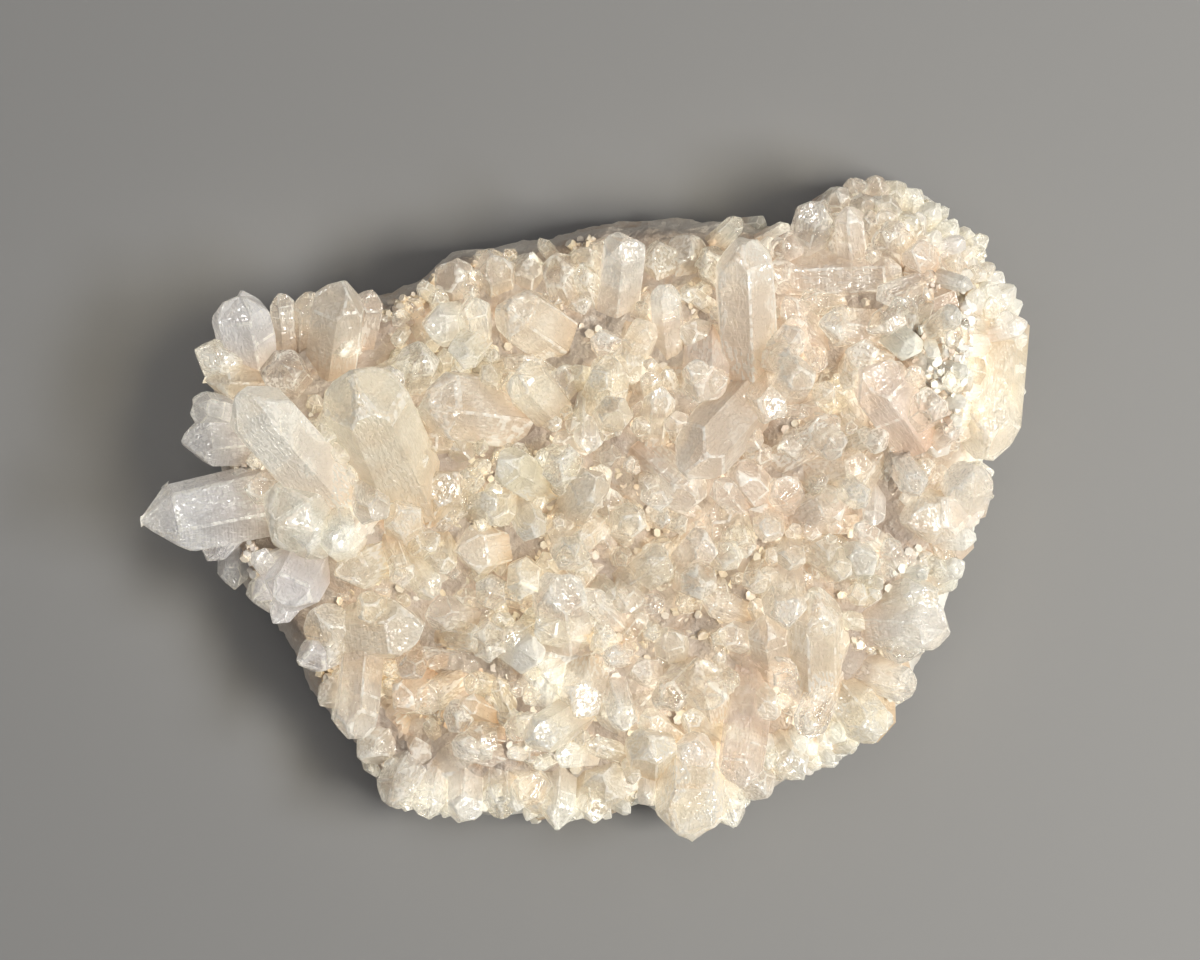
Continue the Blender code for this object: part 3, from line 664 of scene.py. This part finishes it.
def joined(pieces, name):
    deselect_all()
    for piece in pieces:
        piece.select_set(True)
    bpy.context.view_layer.objects.active = pieces[0]
    bpy.ops.object.join()
    whole = bpy.context.object
    whole.name = name
    whole.data.name = name
    return whole


def grown_from(patterns, crystals, seed, flattest):
    pick = random.Random(seed)
    return [grow(pick.choice(patterns), crystal, pick, flattest) for crystal in crystals]


def rough(point, size, seed):
    """A smooth noise between -1 and 1, about size millimetres from rise to rise."""
    return noise.noise(Vector((point.x, point.y, point.z)) / size + Vector((seed, 0, 0)))


def roughness(point):
    """How far the broken surface stands out at a point: its swells, ridges and grains."""
    swells = 0.9 * rough(point, 7.0, 1)
    ridges = 0.55 * abs(rough(point, 3.2, 7))
    grains = 0.3 * rough(point, 1.5, 13)
    return swells + ridges + grains


def raise_ring(mesh, scale_of, height_of):
    """Extrudes the selected top once more and sets its corners on the next ring of the outline."""
    bpy.ops.object.mode_set(mode="EDIT")
    bpy.ops.mesh.extrude_region_move()
    bpy.ops.object.mode_set(mode="OBJECT")
    spots = mesh.attributes["spot"].data
    for vert in mesh.vertices:
        if vert.select:
            x, y = OUTLINE[spots[vert.index].value]
            scale = scale_of(x, y)
            vert.co = Vector((x * scale, y * scale, height_of(x, y))) * MM


def foot_scale(x, y):
    return FOOT_SCALE + FOOT_WANDER * noise.noise((x / ROUGH_GRAIN, y / ROUGH_GRAIN, 0))


def belly_height(x, y):
    uneven = noise.noise((x / ROUGH_GRAIN, y / ROUGH_GRAIN, 5))
    return (BELLY_SHARE + BELLY_WANDER * uneven) * top_height(x, y)


def model_plate():
    """The plate: its outline raised ring by ring to the top, remeshed fine, and roughened all over."""
    deselect_all()
    bpy.ops.mesh.primitive_circle_add(vertices=len(OUTLINE), radius=CAGE_RADIUS, fill_type="NGON")
    plate = bpy.context.object
    plate.name = "quartz_plate"
    mesh = plate.data
    spots = mesh.attributes.new("spot", "INT", "POINT")
    spots.data.foreach_set("value", list(range(len(OUTLINE))))
    for vert, (x, y) in zip(mesh.vertices, OUTLINE):
        vert.co = Vector((x, y, 0)) * foot_scale(x, y) * MM
    raise_ring(mesh, lambda x, y: 1.0, belly_height)
    raise_ring(mesh, shoulder_scale, lambda x, y: SHOULDER_SHARE * top_height(x, y))
    raise_ring(mesh, lambda x, y: TOP_RING * shoulder_scale(x, y), top_height)
    bpy.ops.object.mode_set(mode="EDIT")
    bpy.ops.mesh.poke()
    bpy.ops.mesh.select_all(action="SELECT")
    bpy.ops.mesh.normals_make_consistent(inside=False)
    bpy.ops.object.mode_set(mode="OBJECT")
    fine = plate.modifiers.new("fine", "REMESH")
    fine.mode = "VOXEL"
    fine.voxel_size = PLATE_VOXEL * MM
    bpy.ops.object.modifier_apply(modifier=fine.name)
    mesh = plate.data
    normals = [vert.normal.copy() for vert in mesh.vertices]
    for vert, normal in zip(mesh.vertices, normals):
        point = vert.co / MM
        out = outline_radius(point.x, point.y)
        if normal.z > 0.3 and out < TOP_RING * shoulder_scale(point.x, point.y):
            point.z = top_height(point.x, point.y)
        rise = roughness(point)
        if point.z < UNDERSIDE and normal.z < -0.5:
            point.z = max(0.0, 0.9 * rise)
        else:
            point += normal * rise
            point.z = max(0.0, point.z)
        vert.co = (point + CENTRING) * MM
    crust = mesh.attributes.new("crust", "FLOAT", "POINT")
    for vert, value in zip(mesh.vertices, crust.data):
        point = vert.co / MM - CENTRING
        value.value = lit_chalkiness(point.x, point.y)
    return plate


# ---------------------------------------------------------------- finishes

QUARTZ_IOR = 1.55
BARE_QUARTZ = (0.99, 0.985, 0.965, 1.0)
WARM_SHADED_FOOT = (0.825, 0.70, 0.59, 1.0)  # what a crystal's tint is multiplied by at its foot: a warm tone, and painted shade where the feet stand crowded between crystals
WARM_SHADED_GRAIN = (0.80, 0.67, 0.54, 1.0)  # and a grain's: a warm tone, and painted shade down among the grains
# the painted shade on grains that sit in the hollows
SHADED_GRAIN = (0.86, 0.81, 0.75, 1.0)
# the painted highlight towards each crystal's point
POINT_HIGHLIGHT = (1.0, 0.985, 0.94, 1.0)
# the white of the speckled veils, and of the painted highlight along the bevelled edges
WHITE_VEIL_AND_EDGE_HIGHLIGHT = (1.0, 0.985, 0.93, 1.0)
WHITE_SUGAR = (0.98, 0.96, 0.90, 1.0)
SOAKED_LIGHT = (1.0, 0.99, 0.97, 1.0)
GLOW_SHARE = 0.42  # how much of the milky share lets light soak through
CRYSTAL_SHADOW = (0.84, 0.825, 0.785, 1.0)  # the tint of lamp light that has passed a crystal
DEPTH_TINT = (0.93, 0.88, 0.79, 1.0)
DEPTH_DENSITY = 10.0
SIDE_COLOURS = ((0.58, 0.51, 0.43, 1.0), (0.68, 0.62, 0.54, 1.0))
# painted shade: the plate's top between the crystals is darker than its sides
SHADED_HOLLOW_COLOURS = ((0.38, 0.30, 0.24, 1.0), (0.46, 0.385, 0.315, 1.0))
HOLLOW_LEVELS = (0.013, 0.018)  # below the first, the plate has the paler colour of its sides, and above the second the painted shade of its hollows
CRUST_LEVELS = (0.004, 0.015)  # between them, the chalky crust thins out down the sides
BROWN_STAIN = (0.46, 0.29, 0.16, 1.0)
PALE_GRAIN = (0.92, 0.87, 0.78, 1.0)
# the crust's white, partly painted light on the lit right and front edges
LIT_CHALK_CRUST = (0.97, 0.95, 0.87, 1.0)
FLOOR_GREY = (0.290, 0.286, 0.280, 1.0)


class Value:
    """A number in a material, so that its maths is written as plain arithmetic."""

    def __init__(self, paint, socket):
        self.paint = paint
        self.socket = socket

    def maths(self, operation, *operands):
        made = self.paint.node("ShaderNodeMath", {"operation": operation}, dict(enumerate(operands)))
        return Value(self.paint, made.outputs[0])

    def __add__(self, other):
        return self.maths("ADD", self, other)

    __radd__ = __add__

    def __mul__(self, other):
        return self.maths("MULTIPLY", self, other)

    __rmul__ = __mul__

    def __sub__(self, other):
        return self.maths("SUBTRACT", self, other)

    def __rsub__(self, other):
        return self.maths("SUBTRACT", other, self)

    def clamped(self):
        return self.maths("MINIMUM", self.maths("MAXIMUM", self, 0.0), 1.0)

    def eased(self, low, high):
        """0 below low, 1 above high, and smooth between."""
        settings = {"interpolation_type": "SMOOTHSTEP"}
        sockets = {0: self, 1: low, 2: high, 3: 0.0, 4: 1.0}
        made = self.paint.node("ShaderNodeMapRange", settings, sockets)
        return Value(self.paint, made.outputs[0])


class Paint:
    """A material under construction."""

    def __init__(self, name):
        self.material = bpy.data.materials.new(name)
        self.material.use_nodes = True
        self.tree = self.material.node_tree
        self.tree.nodes.clear()

    def node(self, kind, settings=None, sockets=None):
        made = self.tree.nodes.new(kind)
        for key, setting in (settings or {}).items():
            setattr(made, key, setting)
        for key, value in (sockets or {}).items():
            socket = made.inputs[key]
            if isinstance(value, Value):
                value = value.socket
            if isinstance(value, bpy.types.NodeSocket):
                self.tree.links.new(value, socket)
            else:
                socket.default_value = value
        return made

    def attribute(self, name, output="Fac"):
        return self.node("ShaderNodeAttribute", {"attribute_name": name}).outputs[output]

    def place(self):
        return self.node("ShaderNodeTexCoord").outputs["Object"]

    def cloud(self, where, scale, detail=3.0, roughness=0.55, distortion=0.0):
        sockets = {"Vector": where, "Scale": scale, "Detail": detail, "Roughness": roughness}
        sockets["Distortion"] = distortion
        return Value(self, self.node("ShaderNodeTexNoise", None, sockets).outputs[0])

    def mixed(self, share, first, second):
        """One colour turning into another."""
        made = self.node("ShaderNodeMix", {"data_type": "RGBA"}, {0: share, 6: first, 7: second})
        return made.outputs[2]

    def tinted(self, share, first, second):
        """A colour multiplied by another, by a share."""
        settings = {"data_type": "RGBA", "blend_type": "MULTIPLY"}
        return self.node("ShaderNodeMix", settings, {0: share, 6: first, 7: second}).outputs[2]

    def stretched(self, where, across, lengthways):
        """Coordinates for a pattern that is drawn out along a crystal, or shortened."""
        sockets = {"Vector": where, "Scale": (across, across, lengthways)}
        return self.node("ShaderNodeMapping", None, sockets).outputs[0]

    def bump(self, height, strength, distance):
        sockets = {"Strength": strength, "Distance": distance, "Height": height}
        return self.node("ShaderNodeBump", None, sockets).outputs[0]

    def blend(self, share, first, second):
        """One shader turning into another."""
        return self.node("ShaderNodeMixShader", None, {0: share, 1: first, 2: second}).outputs[0]

    def lit_through(self, seen, colour):
        """What the eye meets, while lamps shine through it with a tint."""
        passing = self.node("ShaderNodeBsdfTransparent", None, {"Color": colour}).outputs[0]
        lamps = self.node("ShaderNodeLightPath").outputs["Is Shadow Ray"]
        return self.blend(lamps, seen, passing)

    def finish(self, surface, volume=None):
        sockets = {"Surface": surface}
        if volume is not None:
            sockets["Volume"] = volume
        self.node("ShaderNodeOutputMaterial", None, sockets)
        return self.material


def crystal_quartz(name, deep):
    """Quartz that goes from water-clear to milky, with speckled white veils inside, a painted highlight
    along its edges and towards its point, and a milky foot darkened with painted shade.

    Deep crystals also take up a little light along its way through them.
    """
    paint = Paint(name)
    grain = paint.attribute("grain", "Vector")
    tint = paint.attribute("tint", "Color")
    along, milk, edge, flash = (
        Value(paint, paint.attribute(each)) for each in ("along", "milk", "edge", "flash")
    )
    cloudy = paint.cloud(grain, 160.0, 0.0).eased(0.34, 0.68)
    patch = (cloudy * 2.4 - 0.9).clamped() * flash
    speckle = paint.cloud(paint.stretched(grain, 1900.0, 800.0), 1.0, 0.0).eased(0.46, 0.56)
    veil = patch * (speckle * 0.85 + 0.15)
    foot = along.eased(0.30, 1.0)
    hillocks = paint.cloud(grain, 620.0, 1.0, 0.55)
    # painted highlight: the bevelled edges turn whiter and milkier, broken up by a noise
    edge_highlight = edge * (hillocks.eased(0.42, 0.60) * 0.8 + 0.2)
    milkiness = (milk + 0.50 * foot + 0.26 * cloudy + 0.20 + 0.70 * veil + 0.42 * edge_highlight).clamped()
    # painted shade: the colour turns darker and warmer towards each crystal's foot
    colour = paint.tinted(foot * 0.90, tint, WARM_SHADED_FOOT)
    # painted highlight: the colour turns paler towards each crystal's point
    colour = paint.mixed(0.35 - 0.35 * along.eased(0.02, 0.22), colour, POINT_HIGHLIGHT)
    colour = paint.mixed((veil * 0.9 + edge_highlight * 0.85).clamped(), colour, WHITE_VEIL_AND_EDGE_HIGHLIGHT)
    striations = paint.cloud(paint.stretched(grain, 260.0, 2600.0), 1.0, 0.0)
    height = striations * along.eased(0.12, 0.25) * 0.6 + hillocks * 1.3 + speckle * 0.7
    relief = paint.bump(height, 0.50, 0.0005)
    frost = hillocks.eased(0.50, 0.70)
    clear = paint.node("ShaderNodeBsdfPrincipled", None, {
        "Base Color": BARE_QUARTZ, "Transmission Weight": 1.0, "IOR": QUARTZ_IOR,
        "Roughness": frost * 0.14 + 0.01, "Normal": relief,
    })
    skin = paint.node("ShaderNodeBsdfPrincipled", None, {
        "Base Color": colour, "Metallic": veil * 0.30, "IOR": QUARTZ_IOR,
        "Roughness": frost * 0.20 + 0.03, "Normal": relief,
    })
    soaked = paint.mixed(0.35, colour, SOAKED_LIGHT)
    glow = paint.node("ShaderNodeBsdfTranslucent", None, {"Color": soaked, "Normal": relief})
    milky = paint.blend(GLOW_SHARE, skin.outputs[0], glow.outputs[0])
    body = paint.lit_through(paint.blend(milkiness, clear.outputs[0], milky), CRYSTAL_SHADOW)
    if not deep:
        return paint.finish(body)
    taken_up = {"Color": DEPTH_TINT, "Density": DEPTH_DENSITY}
    depth = paint.node("ShaderNodeVolumeAbsorption", None, taken_up)
    return paint.finish(body, depth.outputs[0])


def druse_quartz():
    """The fine druse: sugary grains, too small to see into, each a little lighter at its point, as painted
    shade darkens its foot.

    All but the chalky grains are duller than the crystals, darkened with painted shade as they sit in the
    hollows.
    """
    paint = Paint("druse_quartz")
    grain = paint.attribute("grain", "Vector")
    tint = paint.attribute("tint", "Color")
    along = Value(paint, paint.attribute("along"))
    milk = Value(paint, paint.attribute("milk"))
    # painted shade: all but the chalky grains are darkened and lose some of their white sugar
    hollow_shade = 1.0 - milk.eased(0.24, 0.32)
    sugar = paint.cloud(grain, 1500.0, 2.0, 0.6)
    colour = paint.tinted(hollow_shade, tint, SHADED_GRAIN)
    # painted shade: each grain turns darker and warmer towards its foot
    colour = paint.tinted(along.eased(0.10, 0.8), colour, WARM_SHADED_GRAIN)
    colour = paint.mixed(sugar.eased(0.5, 0.7) * (0.5 - 0.3 * hollow_shade), colour, WHITE_SUGAR)
    relief = paint.bump(sugar, 0.4, 0.0003)
    grains = paint.node("ShaderNodeBsdfPrincipled", None, {
        "Base Color": colour, "IOR": QUARTZ_IOR, "Roughness": sugar * 0.3 + 0.12, "Normal": relief,
    })
    return paint.finish(grains.outputs[0])


def plate_quartz():
    """The plate's massive quartz: milky and granular, stained warm brown in patches, darkened in its
    hollows with painted shade, and whitened by a chalky crust that is partly painted light.
    """
    paint = Paint("plate_quartz")
    place = paint.place()
    broad = paint.cloud(place, 45.0, 3.0, 0.6).eased(0.35, 0.65)
    grains = paint.cloud(place, 650.0, 4.0, 0.65)
    specks = paint.cloud(place, 1500.0, 2.0, 0.5)
    stain = paint.cloud(place, 90.0, 4.0, 0.65, 0.6).eased(0.50, 0.70)
    level = Value(paint, paint.node("ShaderNodeSeparateXYZ", None, {0: place}).outputs[2])
    crust = Value(paint, paint.attribute("crust")) * (level.eased(*CRUST_LEVELS) * 0.6 + 0.4)
    side = paint.mixed(broad, *SIDE_COLOURS)
    shaded_hollow = paint.mixed(broad, *SHADED_HOLLOW_COLOURS)
    # painted shade: darker in the hollows of the top, paler on the sides
    colour = paint.mixed(level.eased(*HOLLOW_LEVELS), side, shaded_hollow)
    colour = paint.mixed(stain * 0.6, colour, BROWN_STAIN)
    colour = paint.mixed(grains.eased(0.55, 0.75) * 0.5, colour, PALE_GRAIN)
    # partly painted light: the chalky crust whitens the lit right and front edges
    colour = paint.mixed((crust * 1.2 - grains * 0.2).clamped(), colour, LIT_CHALK_CRUST)
    relief = paint.bump(grains + specks * 0.5, 0.7, 0.0009)
    body = paint.node("ShaderNodeBsdfPrincipled", None, {
        "Base Color": colour, "IOR": QUARTZ_IOR, "Roughness": specks * 0.3 + 0.30, "Normal": relief,
    })
    return paint.finish(body.outputs[0])


def floor_paper():
    paint = Paint("floor_paper")
    matt = paint.node("ShaderNodeBsdfDiffuse", None, {"Color": FLOOR_GREY})
    return paint.finish(matt.outputs[0])


# ---------------------------------------------------------------- the studio

FLOOR_SIZE = 4.0  # lengths, places and sizes here are metres, and powers are watts

# Each lamp: name, place, size, power and, for the soft ones, colour.
SOFT_LIGHTS = (
    ("window", (0.56, -0.10, 0.62), (0.36, 0.18), 6.9, (1.0, 0.98, 0.93)),
    ("sky", (-0.6, 0.5, 1.0), (1.2, 1.2), 1.5, (0.96, 0.97, 1.0)),
)
GLINT_LIGHTS = (
    ("glint_left", (-0.40, 0.22, 0.84), 0.16, 2.4),
    ("glint_front", (0.14, -0.52, 0.80), 0.16, 2.8),
    ("glint_back", (0.24, 0.56, 0.76), 0.14, 1.8),
)
SKY_COLOUR = (0.98, 0.98, 1.0, 1.0)
SKY_STRENGTH = 0.25


def soft_light(name, place, size, power, colour):
    data = bpy.data.lights.new(name, "AREA")
    data.shape = "RECTANGLE"
    data.size = size[0]
    data.size_y = size[1]
    data.energy = power
    data.color = colour
    light = bpy.data.objects.new(name, data)
    bpy.context.scene.collection.objects.link(light)
    light.location = place
    light.rotation_euler = (-Vector(place)).to_track_quat("-Z", "Y").to_euler()


def glint_light(name, place, size, power):
    """A lamp that only glints on facets and adds no light to matt surfaces."""
    soft_light(name, place, (size, size), power, (1.0, 1.0, 1.0))
    bpy.data.objects[name].visible_diffuse = False


def studio():
    deselect_all()
    bpy.ops.mesh.primitive_plane_add(size=FLOOR_SIZE)
    floor = bpy.context.object
    floor.name = "floor"
    floor.data.materials.append(floor_paper())
    for lamp in SOFT_LIGHTS:
        soft_light(*lamp)
    for lamp in GLINT_LIGHTS:
        glint_light(*lamp)
    world = bpy.data.worlds.new("studio")
    bpy.context.scene.world = world
    world.use_nodes = True
    sky = world.node_tree.nodes["Background"]
    sky.inputs[0].default_value = SKY_COLOUR
    sky.inputs[1].default_value = SKY_STRENGTH
    data = bpy.data.cameras.new("camera")
    camera = bpy.data.objects.new("camera", data)
    bpy.context.scene.collection.objects.link(camera)
    camera.location = Vector((VIEW_CENTRE[0], VIEW_CENTRE[1], 0)) * MM + Vector((0, 0, CAMERA_HEIGHT))
    data.lens = data.sensor_width * (CAMERA_HEIGHT - VIEW_LEVEL * MM) / (VIEW_WIDTH * MM)
    data.clip_start = 0.01
    bpy.context.scene.camera = camera
    bpy.context.scene.view_settings.view_transform = "Standard"


def dress(piece, material):
    piece.data.materials.clear()
    piece.data.materials.append(material)
    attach(piece, "root")
    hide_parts(NODE)


def main():
    large_patterns = [
        pattern_crystal(f"large_{i}", 40 + i, PRISM_SIDES, LARGE_BEVEL, i % 2 == 0) for i in range(10)
    ]
    small_patterns = [
        pattern_crystal(f"small_{i}", 80 + i, 3 if i % 3 == 0 else PRISM_SIDES, SMALL_BEVEL, False)
        for i in range(8)
    ]
    grains = [pattern_grain(f"grain_{i}", 120 + i) for i in range(6)]
    small = scattered(
        SMALL_COUNT, SMALL_WIDTHS, SMALL_SLENDERNESS, SMALL_LEAN_SPREAD, seed=5, spacing=0.27,
    )
    druse = scattered(
        DRUSE_COUNT, DRUSE_WIDTHS, DRUSE_SLENDERNESS, DRUSE_LEAN_SPREAD, 6, 0.30, DRUSE_REACH,
    )
    large = [crystal for crystal in CRYSTALS if crystal[6] != "lumpy"] + middling_crystals()
    small += lumps() + rim_crystals() + list(HAND_SET)
    pieces = grown_from(large_patterns, large, 1, LARGE_FLATTEST)
    wide = [piece for piece, crystal in zip(pieces, large) if crystal[4] >= DEEP_WIDTH]
    narrower = [piece for piece, crystal in zip(pieces, large) if crystal[4] < DEEP_WIDTH]
    shallow = crystal_quartz("shallow_quartz", deep=False)
    dress(joined(wide, "large_crystals"), crystal_quartz("deep_quartz", deep=True))
    dress(joined(narrower, "middling_crystals"), shallow)
    dress(joined(grown_from(small_patterns, small, 2, SMALL_FLATTEST), "small_crystals"), shallow)
    dress(joined(grown_from(grains, druse, 3, GRAIN_FLATTEST), "druse"), druse_quartz())
    dress(model_plate(), plate_quartz())
    studio()


main()
